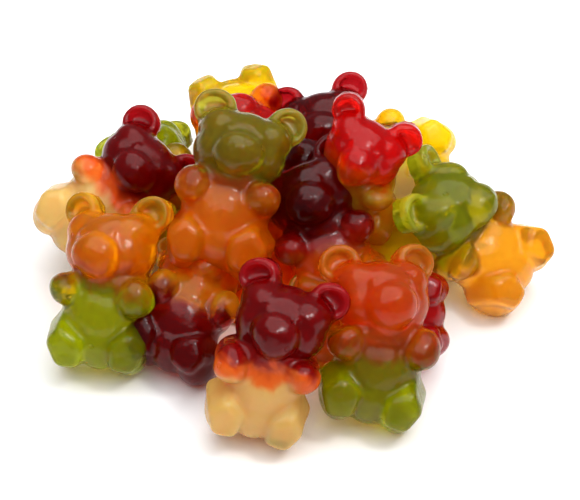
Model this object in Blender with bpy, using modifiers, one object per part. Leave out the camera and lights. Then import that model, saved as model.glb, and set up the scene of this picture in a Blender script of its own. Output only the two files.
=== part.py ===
"""A loose heap of soft two-colour gummy bears, lying as tipped out on a table.

The heap is one closed solid out to its uneven outline: every bear in it is
built in its own pose and all of them are fused round a low core.
Metres, +Z up.  The heap stands on z = 0 and is centred on the origin.
"""
import math
from collections import namedtuple

import bmesh
import bpy
from mathutils import Matrix, Vector

MM = 0.001

# Driving dimensions ---------------------------------------------------------
CORE_CENTRE = Vector((0.0, 3.0, 2.0)) * MM
CORE_RADII = Vector((22.0, 20.0, 10.0)) * MM
FUSE_STEP = 0.75 * MM           # width of the grid that fuses the bears
SMOOTH_FACTOR = 0.5
SMOOTH_ROUNDS = 2
TARGET_TRIANGLES = 8400
BALL_SEGMENTS = 16
BALL_RINGS = 10
BLOCK_SIDE = 150.0 * MM         # the block that trims the heap's underside
BLOCK_DEPTH = 20.0 * MM

# One bear, in parts of its own height: feet on z = 0, flat back on y = 0,
# face to -y.  A ball is (centre, radii); those off the middle come in pairs.
BEAR_WIDTH = 1.07
MIDDLE_BALLS = {
    "belly": ((0.0, -0.09, 0.35), (0.222, 0.235, 0.26)),
    "chest": ((0.0, -0.10, 0.52), (0.205, 0.210, 0.13)),
    "seat": ((0.0, -0.10, 0.215), (0.195, 0.205, 0.185)),
    "crotch": ((0.0, -0.09, 0.15), (0.130, 0.185, 0.135)),
    "head": ((0.0, -0.115, 0.700), (0.222, 0.228, 0.202)),
    "muzzle": ((0.0, -0.305, 0.660), (0.130, 0.120, 0.120)),
    "nose": ((0.0, -0.414, 0.680), (0.038, 0.020, 0.028)),
}
PAIRED_BALLS = {
    "brow": ((0.118, -0.100, 0.778), (0.126, 0.180, 0.120)),
    "cheek": ((0.100, -0.112, 0.675), (0.138, 0.202, 0.152)),
    "ear": ((0.190, -0.078, 0.884), (0.112, 0.080, 0.112)),
    "arm": ((0.172, -0.10, 0.455), (0.098, 0.235, 0.096)),
    "paw": ((0.180, -0.235, 0.455), (0.096, 0.110, 0.096)),
    "leg": ((0.148, -0.10, 0.168), (0.114, 0.205, 0.168)),
    "sole": ((0.150, -0.190, 0.180), (0.108, 0.155, 0.135)),
}

# Where a bear turns about, and where its neck and hips give.
BEAR_MIDDLE = Vector((0.0, -0.18, 0.5))
NECK = Vector((0.0, -0.15, 0.50))
NECK_FROM, NECK_TO = 0.44, 0.62
HIPS = Vector((0.0, -0.15, 0.36))
HIPS_FROM, HIPS_TO = 0.42, 0.22

# Each bear's middle and height in millimetres, then degrees: heading turns
# its face toward +x, lean tips it on its back, roll lays it on its side.
# head and hips are (turn, nod, tilt) of that end against the chest.
Bear = namedtuple("Bear", "name at height heading lean roll head hips",
                  defaults=((0, 0, 0), (0, 0, 0)))
BEARS = (
    Bear("top_green", (-9.2, -2.0, 24.0), 28.5, 0, 44, 11, (0, 0, 5)),
    Bear("top_red", (8.6, 2.0, 21.3), 23.8, -12, -8, -6, (11, -27, 33)),
    Bear("top_dark", (6.6, 19.1, 14.1), 26.0, 22, 50, 6, (-24, 12, 0)),
    Bear("middle_red", (4.5, -3.5, 16.3), 27.5, 0, 40, -19, (-5, 0, 0)),
    Bear("back_yellow", (-8.6, 25.4, 16.5), 27.0, -119, 75, 52),
    Bear("left_dark", (-28.0, 9.5, 14.0), 27.0, 0, 40, 47),
    Bear("left_green", (-24.5, 24.0, 7.0), 28.0, -58, 79, -67),
    Bear("front_left", (-27.8, -13.6, 14.1), 27.5, -10, 33, 5, (-12, -6, -9), (6, 0, -5)),
    Bear("low_dark", (-14.8, -12.6, 10.9), 25.0, 18, 54, 32, (0, -30, 0), (-22, 6, 9)),
    Bear("front_middle", (-3.2, -29.5, 13.8), 26.5, 0, 20, 10, (-10, -12, 8), (0, -3, 6)),
    Bear("front_right", (13.2, -25.0, 14.0), 27.5, 0, 33, 8, (14, -12, -6), (0, 0, 5)),
    Bear("right_green", (27.8, 0.7, 12.6), 28.0, 27, 45, -33, (29, 21, -8)),
    Bear("right_red", (11.6, -15.3, 8.8), 24.5, -6, 42, -97),
    Bear("right_tan", (15.5, 9.8, 9.2), 27.0, 140, -68, 58),
    Bear("back_amber", (14.1, 21.5, 12.3), 26.0, 0, 40, -80),
    Bear("under_back", (0.0, 29.0, 5.5), 26.5, 75, 88, 0),
    Bear("under_right", (20.0, 17.5, 5.5), 26.5, -130, 88, 0),
    Bear("under_middle", (-9.0, 12.0, 7.0), 26.5, -60, 80, 0),
    Bear("under_left", (-24.0, 11.0, 7.0), 25.0, 150, -88, 0),
    Bear("inner_dark", (0.0, 9.0, 15.5), 26.0, -85, 60, 0),
)

GUM_COLOUR = (0.62, 0.13, 0.03, 1.0)
GUM_ROUGHNESS = 0.2


def clear_scene():
    for item in list(bpy.data.objects):
        bpy.data.objects.remove(item)


def new_collection(name):
    group = bpy.data.collections.new(name)
    bpy.context.scene.collection.children.link(group)
    return group


def add_object(name, mesh, group):
    item = bpy.data.objects.new(name, mesh)
    group.objects.link(item)
    return item


def gum_material():
    material = bpy.data.materials.new("gum")
    material.use_nodes = True
    shader = material.node_tree.nodes["Principled BSDF"]
    shader.inputs["Base Color"].default_value = GUM_COLOUR
    shader.inputs["Roughness"].default_value = GUM_ROUGHNESS
    shader.inputs["Metallic"].default_value = 0.0
    return material


def turned(degrees):
    """The rotation for (turn, nod, tilt) in degrees: about z, x, then y."""
    turn, nod, tilt = (math.radians(angle) for angle in degrees)
    return (Matrix.Rotation(turn, 3, "Z")
            @ Matrix.Rotation(nod, 3, "X")
            @ Matrix.Rotation(tilt, 3, "Y"))


def add_ball(shape, centre, radii):
    place = Matrix.Translation(centre) @ Matrix.Diagonal((*radii, 1.0))
    bmesh.ops.create_uvsphere(shape, u_segments=BALL_SEGMENTS, v_segments=BALL_RINGS,
                              radius=1.0, matrix=place)


def plain_bear():
    """A bear one unit tall out of overlapping balls, flat along its back."""
    shape = bmesh.new()
    for centre, radii in MIDDLE_BALLS.values():
        add_ball(shape, centre, radii)
    for centre, radii in PAIRED_BALLS.values():
        for side in (-1, 1):
            add_ball(shape, (side * centre[0], centre[1], centre[2]), radii)
    for vert in shape.verts:
        vert.co.x *= BEAR_WIDTH
        vert.co.y = min(vert.co.y, 0.0)
    return shape


def eased(height, start, end):
    """0 at the start height, 1 at the end height, smooth between."""
    part = min(max((height - start) / (end - start), 0.0), 1.0)
    return part * part * (3.0 - 2.0 * part)


def bent(point, pivot, angles, share):
    rotation = turned([angle * share for angle in angles])
    return rotation @ (point - pivot) + pivot


def posed(point, bear):
    """A plain bear's point with its hips and head bent as this bear's are."""
    point = bent(point, HIPS, bear.hips, eased(point.z, HIPS_FROM, HIPS_TO))
    return bent(point, NECK, bear.head, eased(point.z, NECK_FROM, NECK_TO))


def bear_place(bear):
    """The matrix from a plain bear to its place in the heap."""
    rotation = turned((bear.heading, -bear.lean, bear.roll)).to_4x4()
    size = Matrix.Scale(bear.height * MM, 4)
    return Matrix.Translation(Vector(bear.at) * MM) @ rotation @ size @ Matrix.Translation(-BEAR_MIDDLE)


def add_bear(heap, bear):
    shape = plain_bear()
    for vert in shape.verts:
        vert.co = posed(vert.co, bear)
    shape.transform(bear_place(bear))
    mesh = bpy.data.meshes.new(bear.name)
    shape.to_mesh(mesh)
    shape.free()
    heap.from_mesh(mesh)
    bpy.data.meshes.remove(mesh)


def loose_heap_mesh():
    """Every bear and the core as overlapping closed shells in one mesh."""
    heap = bmesh.new()
    for bear in BEARS:
        add_bear(heap, bear)
    add_ball(heap, CORE_CENTRE, CORE_RADII)
    mesh = bpy.data.meshes.new("loose_heap")
    heap.to_mesh(mesh)
    heap.free()
    return mesh


def evaluated_mesh(item):
    graph = bpy.context.evaluated_depsgraph_get()
    return bpy.data.meshes.new_from_object(item.evaluated_get(graph))


def shells(shape):
    """The separate shells of a mesh, each a list of its vertices."""
    left = set(shape.verts)
    found = []
    while left:
        seed = min(left, key=lambda vert: vert.index)
        left.remove(seed)
        shell = [seed]
        for vert in shell:
            for edge in vert.link_edges:
                other = edge.other_vert(vert)
                if other in left:
                    left.remove(other)
                    shell.append(other)
        found.append(shell)
    return found


def keep_outer_shell(mesh):
    """Delete sealed hollows between the bears, which leave shells of their own."""
    shape = bmesh.new()
    shape.from_mesh(mesh)
    found = shells(shape)
    found.sort(key=len)
    for shell in found[:-1]:
        bmesh.ops.delete(shape, geom=shell, context="VERTS")
    shape.to_mesh(mesh)
    shape.free()


def fused_mesh(group):
    """The bears and the core fused into one smooth skin."""
    item = add_object("fusing", loose_heap_mesh(), group)
    fuse = item.modifiers.new("fuse", "REMESH")
    fuse.mode = "VOXEL"
    fuse.voxel_size = FUSE_STEP
    soften = item.modifiers.new("soften", "SMOOTH")
    soften.factor = SMOOTH_FACTOR
    soften.iterations = SMOOTH_ROUNDS
    mesh = evaluated_mesh(item)
    bpy.data.objects.remove(item)
    keep_outer_shell(mesh)
    return mesh


def centred(mesh):
    """Move the mesh so that its box is centred on the origin in x and y."""
    for axis in (0, 1):
        values = [vert.co[axis] for vert in mesh.vertices]
        middle = (min(values) + max(values)) / 2.0
        for vert in mesh.vertices:
            vert.co[axis] -= middle
    mesh.update()
    return mesh


def floor_block(group):
    """The block whose top face, z = 0, trims the heap's underside flat."""
    block = bmesh.new()
    place = (Matrix.Translation((0.0, 0.0, -BLOCK_DEPTH / 2.0))
             @ Matrix.Diagonal((BLOCK_SIDE, BLOCK_SIDE, BLOCK_DEPTH, 1.0)))
    bmesh.ops.create_cube(block, size=1.0, matrix=place)
    mesh = bpy.data.meshes.new("floor_block")
    block.to_mesh(mesh)
    block.free()
    item = add_object("floor_block", mesh, group)
    item.hide_render = True
    item.display_type = "WIRE"
    return item


def build():
    clear_scene()
    parts = new_collection("gummy_bears")
    cutters = new_collection("cutters")
    mesh = centred(fused_mesh(parts))
    heap = add_object("gummy_bear_heap", mesh, parts)
    thin = heap.modifiers.new("thin", "DECIMATE")
    thin.ratio = TARGET_TRIANGLES / (2.0 * len(mesh.polygons))
    thin.use_collapse_triangulate = True
    trim = heap.modifiers.new("trim", "BOOLEAN")
    trim.operation = "DIFFERENCE"
    trim.solver = "EXACT"
    trim.object = floor_block(cutters)
    mesh.materials.append(gum_material())
    mesh.shade_smooth()


build()
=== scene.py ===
import math
from collections import namedtuple

import bmesh
import bpy
import numpy as np
from bpy.props import FloatProperty, FloatVectorProperty, IntProperty, PointerProperty
from mathutils import Euler, Matrix, Vector
from mathutils.bvhtree import BVHTree


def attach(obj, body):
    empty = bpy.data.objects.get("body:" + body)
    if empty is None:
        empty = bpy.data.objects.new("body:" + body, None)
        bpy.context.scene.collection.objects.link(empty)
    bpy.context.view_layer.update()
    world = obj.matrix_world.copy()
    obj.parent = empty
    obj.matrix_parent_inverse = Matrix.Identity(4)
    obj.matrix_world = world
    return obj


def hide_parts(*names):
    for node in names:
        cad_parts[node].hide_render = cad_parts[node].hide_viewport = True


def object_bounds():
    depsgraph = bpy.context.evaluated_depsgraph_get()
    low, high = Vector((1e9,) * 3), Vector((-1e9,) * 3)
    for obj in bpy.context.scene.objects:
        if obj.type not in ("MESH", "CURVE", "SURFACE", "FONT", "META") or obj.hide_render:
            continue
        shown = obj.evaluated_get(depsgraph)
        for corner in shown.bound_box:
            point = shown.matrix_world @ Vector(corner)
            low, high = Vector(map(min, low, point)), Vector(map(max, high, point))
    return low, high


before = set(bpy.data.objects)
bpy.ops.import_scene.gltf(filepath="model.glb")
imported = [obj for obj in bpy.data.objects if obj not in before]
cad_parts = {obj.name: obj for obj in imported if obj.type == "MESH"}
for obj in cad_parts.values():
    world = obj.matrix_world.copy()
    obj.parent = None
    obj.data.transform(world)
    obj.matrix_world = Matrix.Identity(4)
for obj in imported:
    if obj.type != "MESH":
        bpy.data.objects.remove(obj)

bl_info = {
    "name": "Gummy bear heap",
    "version": (1, 0, 0),
    "blender": (4, 5, 0),
    "location": "View3D > Sidebar > Gummies",
    "description": "A loose heap of glossy two-colour gummy bears on a pale table",
    "category": "Add Mesh",
}

MM = 0.001
CAD_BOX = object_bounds()
HEAP_NODE = "gummy_bear_heap"

# ---------------------------------------------------------------------------
# The heap's layout, the same as the solid's
# ---------------------------------------------------------------------------
# Each bear's middle and height in millimetres, then degrees: heading turns
# its face toward +x, lean tips it on its back, roll lays it on its side.
# head and hips are (turn, nod, tilt) of that end against the chest.  change
# is the height, in parts of the bear's own, where its colours meet.  tone
# runs from -1, redder than its kind, to 1, yellower.
Bear = namedtuple("Bear", "name gum at height heading lean roll head hips change tone",
                  defaults=((0, 0, 0), (0, 0, 0), 0.49, 0.0))
BEARS = (
    Bear("top_green", "green_orange", (-9.2, -2.0, 24.0), 28.5, 0, 44, 11, (0, 0, 5)),
    Bear("top_red", "red_amber", (8.6, 2.0, 21.3), 23.8, -12, -8, -6, (11, -27, 33), change=0.60),
    Bear("top_dark", "dark_orange", (6.6, 19.1, 14.1), 26.0, 22, 50, 6, (-24, 12, 0)),
    Bear("middle_red", "dark_orange", (4.5, -3.5, 16.3), 27.5, 0, 40, -19, (-5, 0, 0), change=0.42),
    Bear("back_yellow", "red_yellow", (-8.6, 25.4, 16.5), 27.0, -119, 75, 52),
    Bear("left_dark", "dark_cream", (-28.0, 9.5, 14.0), 27.0, 0, 40, 47, change=0.48),
    Bear("left_green", "leaf_amber", (-24.5, 24.0, 7.0), 28.0, -58, 79, -67),
    Bear("front_left", "orange_lime", (-27.8, -13.6, 14.1), 27.5, -10, 33, 5,
         head=(-12, -6, -9), hips=(6, 0, -5), change=0.55, tone=0.6),
    Bear("low_dark", "orange_dark", (-14.8, -12.6, 10.9), 25.0, 18, 54, 32,
         head=(0, -30, 0), hips=(-22, 6, 9)),
    Bear("front_middle", "dark_cream", (-3.2, -29.5, 13.8), 26.5, 0, 20, 10,
         head=(-10, -12, 8), hips=(0, -3, 6), change=0.44),
    Bear("front_right", "orange_lime", (13.2, -25.0, 14.0), 27.5, 0, 33, 8,
         head=(14, -12, -6), hips=(0, 0, 5), change=0.46, tone=-0.8),
    Bear("right_green", "leaf_amber", (27.8, 0.7, 12.6), 28.0, 27, 45, -33, (29, 21, -8), tone=0.1),
    Bear("right_red", "orange_red", (11.6, -15.3, 8.8), 24.5, -6, 42, -97),
    Bear("right_tan", "orange_yellow", (15.5, 9.8, 9.2), 27.0, 140, -68, 58, change=0.8),
    Bear("back_amber", "orange_yellow", (14.1, 21.5, 12.3), 26.0, 0, 40, -80),
    Bear("under_back", "orange_lime", (0.0, 29.0, 5.5), 26.5, 75, 88, 0),
    Bear("under_right", "green_orange", (20.0, 17.5, 5.5), 26.5, -130, 88, 0),
    Bear("under_middle", "orange_yellow", (-9.0, 12.0, 7.0), 26.5, -60, 80, 0),
    Bear("under_left", "orange_yellow", (-24.0, 11.0, 7.0), 25.0, 150, -88, 0),
    Bear("inner_dark", "dark_orange", (0.0, 9.0, 15.5), 26.0, -85, 60, 0),
)
CORE_CENTRE = Vector((0.0, 3.0, 2.0)) * MM
CORE_RADII = Vector((16.0, 14.0, 7.0)) * MM
CORE_SEGMENTS, CORE_RINGS = 48, 32

# Each kind's head and body colours, by their names in GumColours, the colour
# between them where they mix, and how clear the gum is.
Kind = namedtuple("Kind", "head body blend clear")
KINDS = {
    "green_orange": Kind("green", "orange", (0.62, 0.20, 0.02), 0.70),
    "leaf_amber": Kind("leaf", "amber", (0.50, 0.36, 0.02), 0.68),
    "red_amber": Kind("red", "amber", (0.94, 0.20, 0.01), 0.68),
    "dark_orange": Kind("dark_red", "orange", (0.72, 0.06, 0.03), 0.82),
    "red_yellow": Kind("crimson", "yellow", (0.92, 0.24, 0.01), 0.58),
    "dark_cream": Kind("dark_red", "cream", (0.92, 0.27, 0.05), 0.54),
    "orange_lime": Kind("orange", "lime", (0.66, 0.24, 0.01), 0.80),
    "orange_dark": Kind("orange", "dark_red", (0.98, 0.55, 0.04), 0.80),
    "orange_red": Kind("orange", "crimson", (0.92, 0.16, 0.02), 0.72),
    "orange_yellow": Kind("orange", "yellow", (0.97, 0.60, 0.03), 0.60),
}
CORE_GUM = Kind("orange", "orange", (0.90, 0.30, 0.02), 0.0)

# ---------------------------------------------------------------------------
# One bear
# ---------------------------------------------------------------------------
# One bear, in parts of its own height: feet on z = 0, flat back on y = 0,
# face to -y.  A ball is (centre, radii); those off the middle come in pairs.
BEAR_WIDTH = 1.07
BALL_SEGMENTS, BALL_RINGS = 28, 18
MIDDLE_BALLS = {
    "belly": ((0.0, -0.09, 0.35), (0.222, 0.235, 0.26)),
    "chest": ((0.0, -0.10, 0.52), (0.205, 0.210, 0.13)),
    "seat": ((0.0, -0.10, 0.215), (0.195, 0.205, 0.185)),
    "crotch": ((0.0, -0.09, 0.15), (0.130, 0.185, 0.135)),
    "head": ((0.0, -0.115, 0.700), (0.222, 0.228, 0.202)),
    "muzzle": ((0.0, -0.305, 0.660), (0.130, 0.120, 0.120)),
    "nose": ((0.0, -0.414, 0.680), (0.038, 0.020, 0.028)),
}
PAIRED_BALLS = {
    "brow": ((0.118, -0.100, 0.778), (0.126, 0.180, 0.120)),
    "cheek": ((0.100, -0.112, 0.675), (0.138, 0.202, 0.152)),
    "eye": ((0.082, -0.298, 0.775), (0.023, 0.026, 0.021)),
    "arm": ((0.172, -0.10, 0.455), (0.098, 0.235, 0.096)),
    "paw": ((0.180, -0.235, 0.455), (0.096, 0.110, 0.096)),
    "leg": ((0.148, -0.10, 0.168), (0.114, 0.205, 0.168)),
}
EAR_CENTRE = (0.190, -0.078, 0.884)
EAR_RIM_RADIUS = 0.086
EAR_RIM_THICKNESS = 0.023
EAR_RIM_DEPTH = 1.9             # the rim's depth against its thickness
EAR_RIM_SIDES = 14
EAR_STEPS = 32
EAR_TURN = 12.0                 # degrees its cup faces outward
EAR_BACK_RADII = (0.106, 0.100)
EAR_BACK_DEPTH = 0.074
EAR_BACK_END = 0.01             # a little past the flat back, which trims it
FOOT_CENTRE = (0.148, -0.195, 0.176)
FOOT_RADII = (0.150, 0.098)
FOOT_DEPTH = 0.29
FOOT_TALLNESS = 1.30
FOOT_TURN = (102.0, 8.0, 5.0)   # degrees: its sole faces forward, a little down and outward
FOOT_SIDES = 5
FOOT_ROUNDING = 0.038
FOOT_ROUNDING_STEPS = 4

# Where a bear turns about, and where its neck and hips give.
BEAR_MIDDLE = Vector((0.0, -0.18, 0.5))
NECK = Vector((0.0, -0.15, 0.50))
NECK_FROM, NECK_TO = 0.44, 0.62
HIPS = Vector((0.0, -0.15, 0.36))
HIPS_FROM, HIPS_TO = 0.42, 0.22

BEND_STEPS = 24                 # a bend is made in this many slices along the bear
SOFTEN_SHARE = 0.5              # how far each round of smoothing goes
SKIN = 0.002                    # rays that measure depth start this far inside
THIN_DEPTH = 0.22               # a limb this deep is half way from thin to thick
# Waves that make each bear uneven: (wavelength in bear heights, share).
UNEVEN_WAVES = ((0.9, 1.0), (0.7, 1.0), (0.55, 0.8), (0.4, 0.5),
                (0.3, 0.35), (0.22, 0.2), (0.16, 0.15))
WAVE_STARTS = (0.0, 6.28)       # radians

# ---------------------------------------------------------------------------
# Gum and stage
# ---------------------------------------------------------------------------
# Noise scales are in waves per metre.
SWIRL_SCALE, SWIRL_DETAIL, SWIRL_SWAY = 190.0, 2.0, 0.10
STRAND_SCALE, STRAND_DETAIL, STRAND_SWAY = 160.0, 1.0, 0.05
TWIST = 1.2                     # how far the swirls and strands curl
TONE_SHIFT = 0.02               # how far a full tone moves the hue
PLAIN_HUE = 0.5
THICK_SHADE_GAMMA, THIN_GLOW_GAMMA = 1.5, 0.75     # painted shade: thick gum is darkened in colour, and thin gum lightened as a painted glow, as light passing through the gum would do
SMEAR_SCALE, SMEAR_DETAIL, SMEAR_SPAN = 260.0, 3.0, (0.35, 0.7)
ROUGHNESS_SPAN = (0.13, 0.27)
RIPPLE_SCALE, RIPPLE_DETAIL = 420.0, 2.0
PIT_SCALE, PIT_SPAN, PIT_DEPTH = 170.0, (0.05, 0.09), -2.2  # depth in ripple heights
BUMP_STRENGTH, BUMP_DEPTH = 0.4, 0.4 * MM
REFRACTION = 1.33
SOFT_DEPTH = 6.0 * MM           # how far light spreads inside the gum
SOFT_REACH = (1.0, 0.6, 0.4)    # the share of that for red, green and blue
DEEP_TINT, DEEP_DENSITY = (1.0, 0.80, 0.35, 1.0), 25.0

TABLE_HALF = 1.2                # metres from its middle to an edge
TABLE_ROUGHNESS, TABLE_CLOUD_SCALE, TABLE_CLOUD_SHADE = 0.6, 9.0, 0.985
SKY_COLOUR = (0.84, 0.92, 1.0, 1.0)
OVERHEAD_PLACE, OVERHEAD_SIDES = (0.03, -0.01, 0.37), (0.70, 0.60)
KEY_PLACE, KEY_SIDES = (0.16, -0.10, 0.34), (0.07, 0.07)
CAMERA_TARGET = Vector((0.0, -1.9, 10.0)) * MM
SENSOR_WIDTH = 36.0             # millimetres
NEAREST_SEEN = 0.01             # metres in front of the camera
EXPOSURE, GAMMA = 0.25, 0.88


class HeapSizes(bpy.types.PropertyGroup):
    """How finely the bears are made."""
    grain: FloatProperty(
        name="Grain", description="Width of the grid that fuses a bear, in parts of its height",
        default=0.0125, min=0.008, max=0.04)
    smoothing: IntProperty(
        name="Smoothing", description="Rounds of smoothing over a fused bear",
        default=4, min=0, max=20)
    unevenness: FloatProperty(
        name="Unevenness", description="How far a bear's skin wanders, in parts of its height",
        default=0.004, min=0.0, max=0.03)


def gum_colour(name, colour):
    return FloatVectorProperty(name=name, description=f"Colour of the {name.lower()} gum",
                               subtype="COLOR", size=3, min=0.0, max=1.0, default=colour)


class GumColours(bpy.types.PropertyGroup):
    """Colour of each gum, as light leaves a thin piece of it."""
    red: gum_colour("Red", (0.84, 0.008, 0.006))
    dark_red: gum_colour("Dark red", (0.34, 0.003, 0.006))
    crimson: gum_colour("Crimson", (0.58, 0.006, 0.008))
    orange: gum_colour("Orange", (0.92, 0.385, 0.014))
    amber: gum_colour("Amber", (0.90, 0.52, 0.045))
    green: gum_colour("Green", (0.45, 0.41, 0.03))
    leaf: gum_colour("Leaf green", (0.45, 0.48, 0.012))
    lime: gum_colour("Lime", (0.48, 0.54, 0.004))
    yellow: gum_colour("Yellow", (0.93, 0.71, 0.012))
    cream: gum_colour("Cream", (0.86, 0.65, 0.31))
    change_width: FloatProperty(
        name="Change width",
        description="Height over which a bear's two colours meet, in parts of its own",
        default=0.20, min=0.01, max=0.6)


class StageSettings(bpy.types.PropertyGroup):
    """The table, the light and the camera."""
    table: FloatVectorProperty(
        name="Table", description="Colour of the table", subtype="COLOR", size=3,
        min=0.0, max=1.0, default=(0.97, 0.97, 0.975))
    sky: FloatProperty(
        name="Surround", description="Strength of the white surround", default=0.25, min=0.0)
    softbox: FloatProperty(
        name="Softbox", description="Brightness of the big soft light", default=2.15, min=0.0)
    key: FloatProperty(
        name="Key", description="Brightness of the small light that makes the glints",
        default=20.0, min=0.0)
    camera_height: FloatProperty(
        name="Camera height", description="Angle of the camera above the table",
        subtype="ANGLE", default=math.radians(40.0))
    camera_distance: FloatProperty(
        name="Camera distance", description="From the camera to the heap's middle",
        subtype="DISTANCE", unit="LENGTH", default=0.260)
    lens: FloatProperty(name="Lens", description="Focal length in millimetres", default=103.0)


# ---------------------------------------------------------------------------
# Shaping
# ---------------------------------------------------------------------------
def placed(centre, degrees=(0.0, 0.0, 0.0), scale=(1.0, 1.0, 1.0)):
    turn = Euler([math.radians(angle) for angle in degrees]).to_matrix().to_4x4()
    return Matrix.Translation(centre) @ turn @ Matrix.Diagonal((*scale, 1.0))


def on_side(place, side):
    """The place, or its twin across the middle where side is -1."""
    return (side * place[0], place[1], place[2])


def finished_mesh(shape, name):
    """The shape as a new mesh; the shape itself is let go."""
    mesh = bpy.data.meshes.new(name)
    shape.to_mesh(mesh)
    shape.free()
    return mesh


def vertex_values(mesh, label):
    """A value of three numbers, such as co or normal, at each vertex."""
    values = np.empty(len(mesh.vertices) * 3, dtype=np.float32)
    mesh.vertices.foreach_get(label, values)
    return values.reshape(-1, 3)


def add_ball(shape, centre, radii):
    bmesh.ops.create_uvsphere(shape, u_segments=BALL_SEGMENTS, v_segments=BALL_RINGS, radius=1.0,
                              matrix=placed(centre, scale=radii))


def add_ear_rim(shape, side):
    """A ring round the ear's cup, spun from a small circle."""
    start = Matrix.Translation((EAR_RIM_RADIUS, 0.0, 0.0)) @ Matrix.Rotation(math.pi / 2.0, 4, "X")
    circle = bmesh.ops.create_circle(shape, cap_ends=False, segments=EAR_RIM_SIDES,
                                     radius=EAR_RIM_THICKNESS, matrix=start)["verts"]
    edges = list({edge for vert in circle for edge in vert.link_edges})
    others = set(shape.verts) - set(circle)
    bmesh.ops.spin(shape, geom=circle + edges, cent=(0, 0, 0), axis=(0, 0, 1),
                   angle=2.0 * math.pi, steps=EAR_STEPS, use_merge=True)
    ring = [vert for vert in shape.verts if vert not in others]
    place = placed(on_side(EAR_CENTRE, side), (90.0, 0.0, side * EAR_TURN),
                   (1.0, 1.0, EAR_RIM_DEPTH))
    bmesh.ops.transform(shape, verts=ring, matrix=place)


def add_ear_back(shape, side):
    """The solid disc behind the ear's cup, back to the flat side."""
    centre = (side * EAR_CENTRE[0], EAR_BACK_END - EAR_BACK_DEPTH / 2.0, EAR_CENTRE[2])
    bmesh.ops.create_cone(shape, cap_ends=True, segments=EAR_STEPS, radius1=EAR_BACK_RADII[0],
                          radius2=EAR_BACK_RADII[1], depth=EAR_BACK_DEPTH,
                          matrix=placed(centre, (90.0, 0.0, 0.0)))


def add_foot(shape, side):
    """The foot's blunt wedge, one corner up and its sole a little downward."""
    turn = (FOOT_TURN[0], side * FOOT_TURN[1], side * FOOT_TURN[2])
    place = placed(on_side(FOOT_CENTRE, side), turn, (1.0, FOOT_TALLNESS, 1.0))
    wedge = bmesh.ops.create_cone(shape, cap_ends=True, segments=FOOT_SIDES,
                                  radius1=FOOT_RADII[0], radius2=FOOT_RADII[1],
                                  depth=FOOT_DEPTH, matrix=place)["verts"]
    edges = list({edge for vert in wedge for edge in vert.link_edges})
    bmesh.ops.bevel(shape, geom=edges, offset=FOOT_ROUNDING, segments=FOOT_ROUNDING_STEPS,
                    profile=0.5, affect="EDGES", material=-1, clamp_overlap=True)


def evaluated_mesh(item):
    graph = bpy.context.evaluated_depsgraph_get()
    return bpy.data.meshes.new_from_object(item.evaluated_get(graph))


def fused(mesh, grain, smoothing):
    """The mesh's overlapping shells as one smooth skin."""
    item = bpy.data.objects.new("fusing", mesh)
    bpy.context.scene.collection.objects.link(item)
    fuse = item.modifiers.new("fuse", "REMESH")
    fuse.mode = "VOXEL"
    fuse.voxel_size = grain
    soften = item.modifiers.new("soften", "SMOOTH")
    soften.factor = SOFTEN_SHARE
    soften.iterations = smoothing
    skin = evaluated_mesh(item)
    bpy.data.objects.remove(item)
    bpy.data.meshes.remove(mesh)
    return skin


def flat_backed(mesh):
    """Cut the bear off at y = 0, where it lay against the mould's open side."""
    shape = bmesh.new()
    shape.from_mesh(mesh)
    bmesh.ops.bisect_plane(shape, geom=shape.verts[:] + shape.edges[:] + shape.faces[:],
                           plane_co=(0, 0, 0), plane_no=(0, 1, 0), clear_outer=True)
    rim = [edge for edge in shape.edges if edge.is_boundary]
    bmesh.ops.triangle_fill(shape, use_beauty=True, edges=rim)
    shape.to_mesh(mesh)
    shape.free()
    return mesh


def thinness(points, normals, polygons):
    """For each point, 1 where the bear is thin under it and 0 where it is deep."""
    tree = BVHTree.FromPolygons([Vector(p) for p in points], polygons)
    result = np.zeros(len(points), dtype=np.float32)
    for index, (point, normal) in enumerate(zip(points, normals)):
        inward = -Vector(normal)
        start = Vector(point) + inward * SKIN
        hit = tree.ray_cast(start, inward, 1.0)
        depth = hit[3] if hit[3] is not None else 0.0
        result[index] = math.exp(-(depth / THIN_DEPTH) ** 2 * math.log(2.0))
    return result


def plain_bear(sizes):
    """A bear one unit tall, with its height and thinness kept at each point."""
    shape = bmesh.new()
    for centre, radii in MIDDLE_BALLS.values():
        add_ball(shape, centre, radii)
    for side in (-1, 1):
        for centre, radii in PAIRED_BALLS.values():
            add_ball(shape, on_side(centre, side), radii)
        add_ear_rim(shape, side)
        add_ear_back(shape, side)
        add_foot(shape, side)
    bmesh.ops.scale(shape, vec=(BEAR_WIDTH, 1.0, 1.0), verts=shape.verts)
    bmesh.ops.recalc_face_normals(shape, faces=shape.faces)
    mesh = flat_backed(fused(finished_mesh(shape, "loose_bear"), sizes.grain, 0))
    mesh = fused(mesh, sizes.grain, sizes.smoothing)
    points = vertex_values(mesh, "co")
    polygons = [tuple(face.vertices) for face in mesh.polygons]
    thin = thinness(points, vertex_values(mesh, "normal"), polygons)
    up = np.ascontiguousarray(points[:, 2])
    mesh.attributes.new("up", "FLOAT", "POINT").data.foreach_set("value", up)
    mesh.attributes.new("thin", "FLOAT", "POINT").data.foreach_set("value", thin)
    mesh.attributes.new("tone", "FLOAT", "POINT")
    return mesh


def rotation(degrees):
    """The rotation for (turn, nod, tilt) in degrees: about z, x, then y."""
    turn, nod, tilt = (math.radians(angle) for angle in degrees)
    return (Matrix.Rotation(turn, 3, "Z")
            @ Matrix.Rotation(nod, 3, "X")
            @ Matrix.Rotation(tilt, 3, "Y"))


def eased(heights, start, end):
    part = np.clip((heights - start) / (end - start), 0.0, 1.0)
    return part * part * (3.0 - 2.0 * part)


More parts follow.
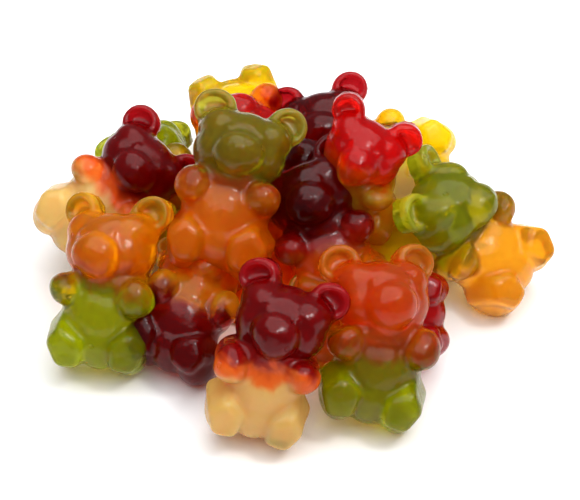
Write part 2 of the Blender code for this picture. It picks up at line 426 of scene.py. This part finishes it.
def bent(points, pivot, angles, shares):
    """Points turned about the pivot, each by its own share of the angles."""
    if not any(angles):
        return points
    result = points.copy()
    for step in range(1, BEND_STEPS + 1):
        near = np.rint(shares * BEND_STEPS) == step
        if near.any():
            turn = np.array(rotation([angle * step / BEND_STEPS for angle in angles]))
            result[near] = (points[near] - pivot) @ turn.T + pivot
    return result


def posed(points, bear):
    hips = eased(points[:, 2], HIPS_FROM, HIPS_TO)
    points = bent(points, np.array(HIPS), bear.hips, hips)
    neck = eased(points[:, 2], NECK_FROM, NECK_TO)
    return bent(points, np.array(NECK), bear.head, neck)


def bear_place(bear):
    """The matrix from a plain bear to its place in the heap."""
    turn = rotation((bear.heading, -bear.lean, bear.roll)).to_4x4()
    size = Matrix.Scale(bear.height * MM, 4)
    return Matrix.Translation(Vector(bear.at) * MM) @ turn @ size @ Matrix.Translation(-BEAR_MIDDLE)


def uneven(points, size, seed):
    """Points moved by a few waves, so that no two bears are quite alike."""
    chance = np.random.default_rng(seed)
    moved = points.copy()
    for wavelength, share in UNEVEN_WAVES:
        wave = chance.normal(size=3)
        wave *= 2.0 * math.pi / (wavelength * np.linalg.norm(wave))
        push = chance.normal(size=3)
        rise = np.sin(points @ wave + chance.uniform(*WAVE_STARTS))
        moved += size * share * rise[:, None] * push
    return moved


def bear_points(plain, bear, unevenness):
    """The plain bear's points in this bear's pose and place."""
    points = uneven(posed(plain, bear), unevenness, len(bear.name) + int(bear.height * 40))
    place = np.array(bear_place(bear))
    return points @ place[:3, :3].T + place[:3, 3]


def heap_shift(points_by_bear):
    """What centres the bears on the solid's box."""
    low = np.min([points.min(axis=0) for points in points_by_bear], axis=0)
    high = np.max([points.max(axis=0) for points in points_by_bear], axis=0)
    cad_low, cad_high = (np.array(corner) for corner in CAD_BOX)
    shift = (cad_low + cad_high - low - high) / 2.0
    shift[2] = 0.0
    return shift


def kind_mesh(name, plain, coords, shift):
    """All bears of one kind as one mesh."""
    shape = bmesh.new()
    for index, bear in enumerate(BEARS):
        if bear.gum != name:
            continue
        mesh = plain.copy()
        points = coords[index] + shift
        points[:, 2] = np.maximum(points[:, 2], 0.0)
        mesh.vertices.foreach_set("co", np.ascontiguousarray(points, dtype=np.float32).ravel())
        up = np.empty(len(mesh.vertices), dtype=np.float32)
        mesh.attributes["up"].data.foreach_get("value", up)
        mesh.attributes["up"].data.foreach_set("value", up - bear.change)
        tone = np.full(len(mesh.vertices), bear.tone, dtype=np.float32)
        mesh.attributes["tone"].data.foreach_set("value", tone)
        shape.from_mesh(mesh)
        bpy.data.meshes.remove(mesh)
    mesh = finished_mesh(shape, name + "_bears")
    mesh.shade_smooth()
    return mesh


# ---------------------------------------------------------------------------
# Finish
# ---------------------------------------------------------------------------
def feed(tree, socket, source):
    """Link a socket, or set it where the source is a plain value."""
    if isinstance(source, bpy.types.NodeSocket):
        tree.links.new(source, socket)
    else:
        socket.default_value = source


def add_attribute(tree, name):
    attribute = tree.nodes.new("ShaderNodeAttribute")
    attribute.attribute_name = name
    return attribute.outputs["Fac"]


def add_noise(tree, place, scale, detail, twist=0.0):
    noise = tree.nodes.new("ShaderNodeTexNoise")
    noise.inputs["Scale"].default_value = scale
    noise.inputs["Detail"].default_value = detail
    noise.inputs["Distortion"].default_value = twist
    tree.links.new(place, noise.inputs["Vector"])
    return noise.outputs["Fac"]


def add_math(tree, operation, *terms):
    node = tree.nodes.new("ShaderNodeMath")
    node.operation = operation
    for socket, term in zip(node.inputs, terms):
        feed(tree, socket, term)
    return node.outputs[0]


def add_range(tree, value, span, to_span=(0.0, 1.0), eased_ends=False):
    """The value with one (low, high) span stretched onto another."""
    stretch = tree.nodes.new("ShaderNodeMapRange")
    stretch.interpolation_type = "SMOOTHSTEP" if eased_ends else "LINEAR"
    for label, source in zip(("Value", "From Min", "From Max", "To Min", "To Max"),
                             (value, *span, *to_span)):
        feed(tree, stretch.inputs[label], source)
    return stretch.outputs["Result"]


def add_mix(tree, factor, first, second):
    """A colour between two others."""
    mix = tree.nodes.new("ShaderNodeMix")
    mix.data_type = "RGBA"
    for label, source in (("Factor", factor), ("A", first), ("B", second)):
        feed(tree, mix.inputs[label], source)
    return mix.outputs["Result"]


def gum_effect():
    """Node group: two gums running into each other along a bear, with painted shade where it is
    thick and a painted glow where it is thin.
    """
    name = "two gums"
    if name in bpy.data.node_groups:
        return bpy.data.node_groups[name]
    group = bpy.data.node_groups.new(name, "ShaderNodeTree")
    for label in ("Body", "Blend", "Head"):
        group.interface.new_socket(label, in_out="INPUT", socket_type="NodeSocketColor")
    group.interface.new_socket("Change Width", in_out="INPUT", socket_type="NodeSocketFloat")
    group.interface.new_socket("Colour", in_out="OUTPUT", socket_type="NodeSocketColor")
    for label in ("Roughness", "Height"):
        group.interface.new_socket(label, in_out="OUTPUT", socket_type="NodeSocketFloat")
    given = group.nodes.new("NodeGroupInput").outputs
    made = group.nodes.new("NodeGroupOutput").inputs
    place = group.nodes.new("ShaderNodeTexCoord").outputs["Object"]

    # Height above the change of colours, swayed by swirls and strands.
    swirl = add_noise(group, place, SWIRL_SCALE, SWIRL_DETAIL, TWIST)
    strand = add_noise(group, place, STRAND_SCALE, STRAND_DETAIL, TWIST)
    sway = add_range(group, swirl, (0.0, 1.0), (-SWIRL_SWAY, SWIRL_SWAY))
    streaks = add_range(group, strand, (0.0, 1.0), (-STRAND_SWAY, STRAND_SWAY))
    swayed = add_math(group, "ADD", add_attribute(group, "up"), sway)
    level = add_math(group, "ADD", swayed, streaks)
    half = add_math(group, "MULTIPLY", given["Change Width"], 0.5)
    below = add_math(group, "MULTIPLY", half, -1.0)
    lower = add_range(group, level, (below, 0.0), eased_ends=True)
    upper = add_range(group, level, (0.0, half), eased_ends=True)

    # The body's colour runs through the blend into the head's; then painted shade darkens it where
    # the bear is thick and a painted glow lightens it where it is thin.
    toned = group.nodes.new("ShaderNodeHueSaturation")
    hue = add_math(group, "MULTIPLY_ADD", add_attribute(group, "tone"), TONE_SHIFT, PLAIN_HUE)
    feed(group, toned.inputs["Hue"], hue)
    feed(group, toned.inputs["Color"], given["Head"])
    body = add_mix(group, lower, given["Body"], given["Blend"])
    whole = add_mix(group, upper, body, toned.outputs["Color"])
    # painted shade and glow: a gamma on the colour, set by how deep the bear is under each point
    painted_depth_shade = group.nodes.new("ShaderNodeGamma")
    depth = add_range(group, add_attribute(group, "thin"), (0.0, 1.0), (THICK_SHADE_GAMMA, THIN_GLOW_GAMMA))
    feed(group, painted_depth_shade.inputs["Color"], whole)
    feed(group, painted_depth_shade.inputs["Gamma"], depth)
    feed(group, made["Colour"], painted_depth_shade.outputs["Color"])

    # An oily skin with smears, ripples and a few pits.
    smear = add_noise(group, place, SMEAR_SCALE, SMEAR_DETAIL)
    feed(group, made["Roughness"], add_range(group, smear, SMEAR_SPAN, ROUGHNESS_SPAN))
    ripple = add_noise(group, place, RIPPLE_SCALE, RIPPLE_DETAIL)
    bubbles = group.nodes.new("ShaderNodeTexVoronoi")
    bubbles.inputs["Scale"].default_value = PIT_SCALE
    feed(group, bubbles.inputs["Vector"], place)
    pit = add_range(group, bubbles.outputs["Distance"], PIT_SPAN, (PIT_DEPTH, 0.0), eased_ends=True)
    feed(group, made["Height"], add_math(group, "ADD", ripple, pit))
    return group


def gum_material(name, kind, colours):
    """Clear, soft gum that shines: two colours from the gum effect, with painted shade where it is
    thick and a painted glow where it is thin.
    """
    material = bpy.data.materials.new(name)
    material.use_nodes = True
    tree = material.node_tree
    shader = tree.nodes["Principled BSDF"]
    effect = tree.nodes.new("ShaderNodeGroup")
    effect.node_tree = gum_effect()
    effect.inputs["Head"].default_value = (*getattr(colours, kind.head), 1.0)
    effect.inputs["Blend"].default_value = (*kind.blend, 1.0)
    effect.inputs["Body"].default_value = (*getattr(colours, kind.body), 1.0)
    effect.inputs["Change Width"].default_value = colours.change_width
    bump = tree.nodes.new("ShaderNodeBump")
    bump.inputs["Strength"].default_value = BUMP_STRENGTH
    bump.inputs["Distance"].default_value = BUMP_DEPTH
    tree.links.new(effect.outputs["Height"], bump.inputs["Height"])
    tree.links.new(bump.outputs["Normal"], shader.inputs["Normal"])
    tree.links.new(effect.outputs["Colour"], shader.inputs["Base Color"])
    tree.links.new(effect.outputs["Roughness"], shader.inputs["Roughness"])
    shader.inputs["Metallic"].default_value = 0.0
    shader.inputs["IOR"].default_value = REFRACTION
    shader.inputs["Transmission Weight"].default_value = kind.clear
    shader.inputs["Subsurface Weight"].default_value = 1.0
    shader.inputs["Subsurface Radius"].default_value = SOFT_REACH
    shader.inputs["Subsurface Scale"].default_value = SOFT_DEPTH
    absorb = tree.nodes.new("ShaderNodeVolumeAbsorption")
    absorb.inputs["Color"].default_value = DEEP_TINT
    absorb.inputs["Density"].default_value = DEEP_DENSITY
    tree.links.new(absorb.outputs["Volume"], tree.nodes["Material Output"].inputs["Volume"])
    return material


def table_material(colour):
    """A pale matt board, a little uneven in colour."""
    material = bpy.data.materials.new("table")
    material.use_nodes = True
    tree = material.node_tree
    shader = tree.nodes["Principled BSDF"]
    cloud = tree.nodes.new("ShaderNodeTexNoise")
    cloud.inputs["Scale"].default_value = TABLE_CLOUD_SCALE
    place = tree.nodes.new("ShaderNodeTexCoord")
    tree.links.new(place.outputs["Object"], cloud.inputs["Vector"])
    shade = tuple(TABLE_CLOUD_SHADE * part for part in colour)
    tint = add_mix(tree, cloud.outputs["Fac"], (*colour, 1.0), (*shade, 1.0))
    tree.links.new(tint, shader.inputs["Base Color"])
    shader.inputs["Roughness"].default_value = TABLE_ROUGHNESS
    return material


def add_piece(name, mesh, material):
    item = bpy.data.objects.new(name, mesh)
    bpy.context.scene.collection.objects.link(item)
    item.data.materials.append(material)
    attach(item, "root")
    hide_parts(HEAP_NODE)


# ---------------------------------------------------------------------------
# Operators
# ---------------------------------------------------------------------------
class OBJECT_OT_gummy_bears(bpy.types.Operator):
    """Add the heap's bears, one piece for each pair of colours"""
    bl_idname = "object.gummy_bears"
    bl_label = "Add Gummy Bears"

    def execute(self, context):
        sizes = context.scene.heap_sizes
        plain = plain_bear(sizes)
        points = vertex_values(plain, "co").astype(float)
        coords = [bear_points(points, bear, sizes.unevenness) for bear in BEARS]
        shift = heap_shift(coords)
        for name, kind in KINDS.items():
            mesh = kind_mesh(name, plain, coords, shift)
            add_piece(name + "_bears", mesh, gum_material(name, kind, context.scene.gum_colours))
        bpy.data.meshes.remove(plain)
        return {"FINISHED"}


class OBJECT_OT_gummy_core(bpy.types.Operator):
    """Add the low lump of gum under the bears"""
    bl_idname = "object.gummy_core"
    bl_label = "Add Core"

    def execute(self, context):
        shape = bmesh.new()
        bmesh.ops.create_uvsphere(shape, u_segments=CORE_SEGMENTS, v_segments=CORE_RINGS,
                                  radius=1.0, matrix=placed(CORE_CENTRE, scale=CORE_RADII))
        for vert in shape.verts:
            vert.co.z = max(vert.co.z, 0.0)
        mesh = finished_mesh(shape, "core")
        mesh.shade_smooth()
        add_piece("core", mesh, gum_material("core_gum", CORE_GUM, context.scene.gum_colours))
        return {"FINISHED"}


class OBJECT_OT_gummy_stage(bpy.types.Operator):
    """Add the table, the light and the camera"""
    bl_idname = "object.gummy_stage"
    bl_label = "Add Stage"

    def execute(self, context):
        stage = context.scene.stage_settings
        self.add_table(context, stage)
        self.add_light(context, stage)
        self.add_camera(context, stage)
        return {"FINISHED"}

    def add_table(self, context, stage):
        shape = bmesh.new()
        bmesh.ops.create_grid(shape, x_segments=1, y_segments=1, size=TABLE_HALF)
        mesh = finished_mesh(shape, "table")
        item = bpy.data.objects.new("table", mesh)
        context.scene.collection.objects.link(item)
        mesh.materials.append(table_material(stage.table))

    def add_light(self, context, stage):
        world = bpy.data.worlds.new("surround")
        context.scene.world = world
        world.use_nodes = True
        background = world.node_tree.nodes["Background"]
        background.inputs["Color"].default_value = SKY_COLOUR
        background.inputs["Strength"].default_value = stage.sky
        self.add_softbox(context, "overhead", OVERHEAD_PLACE, OVERHEAD_SIDES, stage.softbox)
        self.add_softbox(context, "key", KEY_PLACE, KEY_SIDES, stage.key)

    def add_softbox(self, context, name, place, sides, brightness):
        """A soft light aimed at the heap, as bright all over its face."""
        light = bpy.data.lights.new(name, "AREA")
        light.shape = "RECTANGLE"
        light.size, light.size_y = sides
        light.energy = brightness * math.pi * sides[0] * sides[1]
        item = bpy.data.objects.new(name, light)
        context.scene.collection.objects.link(item)
        item.location = place
        item.rotation_euler = Vector(place).to_track_quat("Z", "Y").to_euler()

    def add_camera(self, context, stage):
        data = bpy.data.cameras.new("camera")
        data.lens = stage.lens
        data.sensor_width = SENSOR_WIDTH
        data.clip_start = NEAREST_SEEN
        item = bpy.data.objects.new("camera", data)
        context.scene.collection.objects.link(item)
        away = Vector((0.0, -math.cos(stage.camera_height), math.sin(stage.camera_height)))
        item.location = CAMERA_TARGET + away * stage.camera_distance
        item.rotation_euler = (-away).to_track_quat("-Z", "Y").to_euler()
        context.scene.camera = item


class VIEW3D_PT_gummies(bpy.types.Panel):
    """The heap's pieces, sizes and colours"""
    bl_label = "Gummy Bears"
    bl_idname = "VIEW3D_PT_gummies"
    bl_space_type = "VIEW_3D"
    bl_region_type = "UI"
    bl_category = "Gummies"

    def draw(self, context):
        scene = context.scene
        column = self.layout.column()
        for settings in (scene.heap_sizes, scene.gum_colours, scene.stage_settings):
            for name in settings.__annotations__:
                column.prop(settings, name)
        for operator in (OBJECT_OT_gummy_bears, OBJECT_OT_gummy_core, OBJECT_OT_gummy_stage):
            column.operator(operator.bl_idname)


CLASSES = (HeapSizes, GumColours, StageSettings, OBJECT_OT_gummy_bears,
           OBJECT_OT_gummy_core, OBJECT_OT_gummy_stage, VIEW3D_PT_gummies)


def register():
    for item in CLASSES:
        bpy.utils.register_class(item)
    bpy.types.Scene.heap_sizes = PointerProperty(type=HeapSizes)
    bpy.types.Scene.gum_colours = PointerProperty(type=GumColours)
    bpy.types.Scene.stage_settings = PointerProperty(type=StageSettings)


def unregister():
    del bpy.types.Scene.stage_settings
    del bpy.types.Scene.gum_colours
    del bpy.types.Scene.heap_sizes
    for item in reversed(CLASSES):
        bpy.utils.unregister_class(item)


def main():
    register()
    bpy.ops.object.gummy_stage()
    bpy.ops.object.gummy_core()
    bpy.ops.object.gummy_bears()
    scene = bpy.context.scene
    scene.view_settings.view_transform = "Standard"
    scene.view_settings.exposure = EXPOSURE
    scene.view_settings.gamma = GAMMA
    scene.cycles.use_denoising = True


if __name__ == "__main__":
    main()
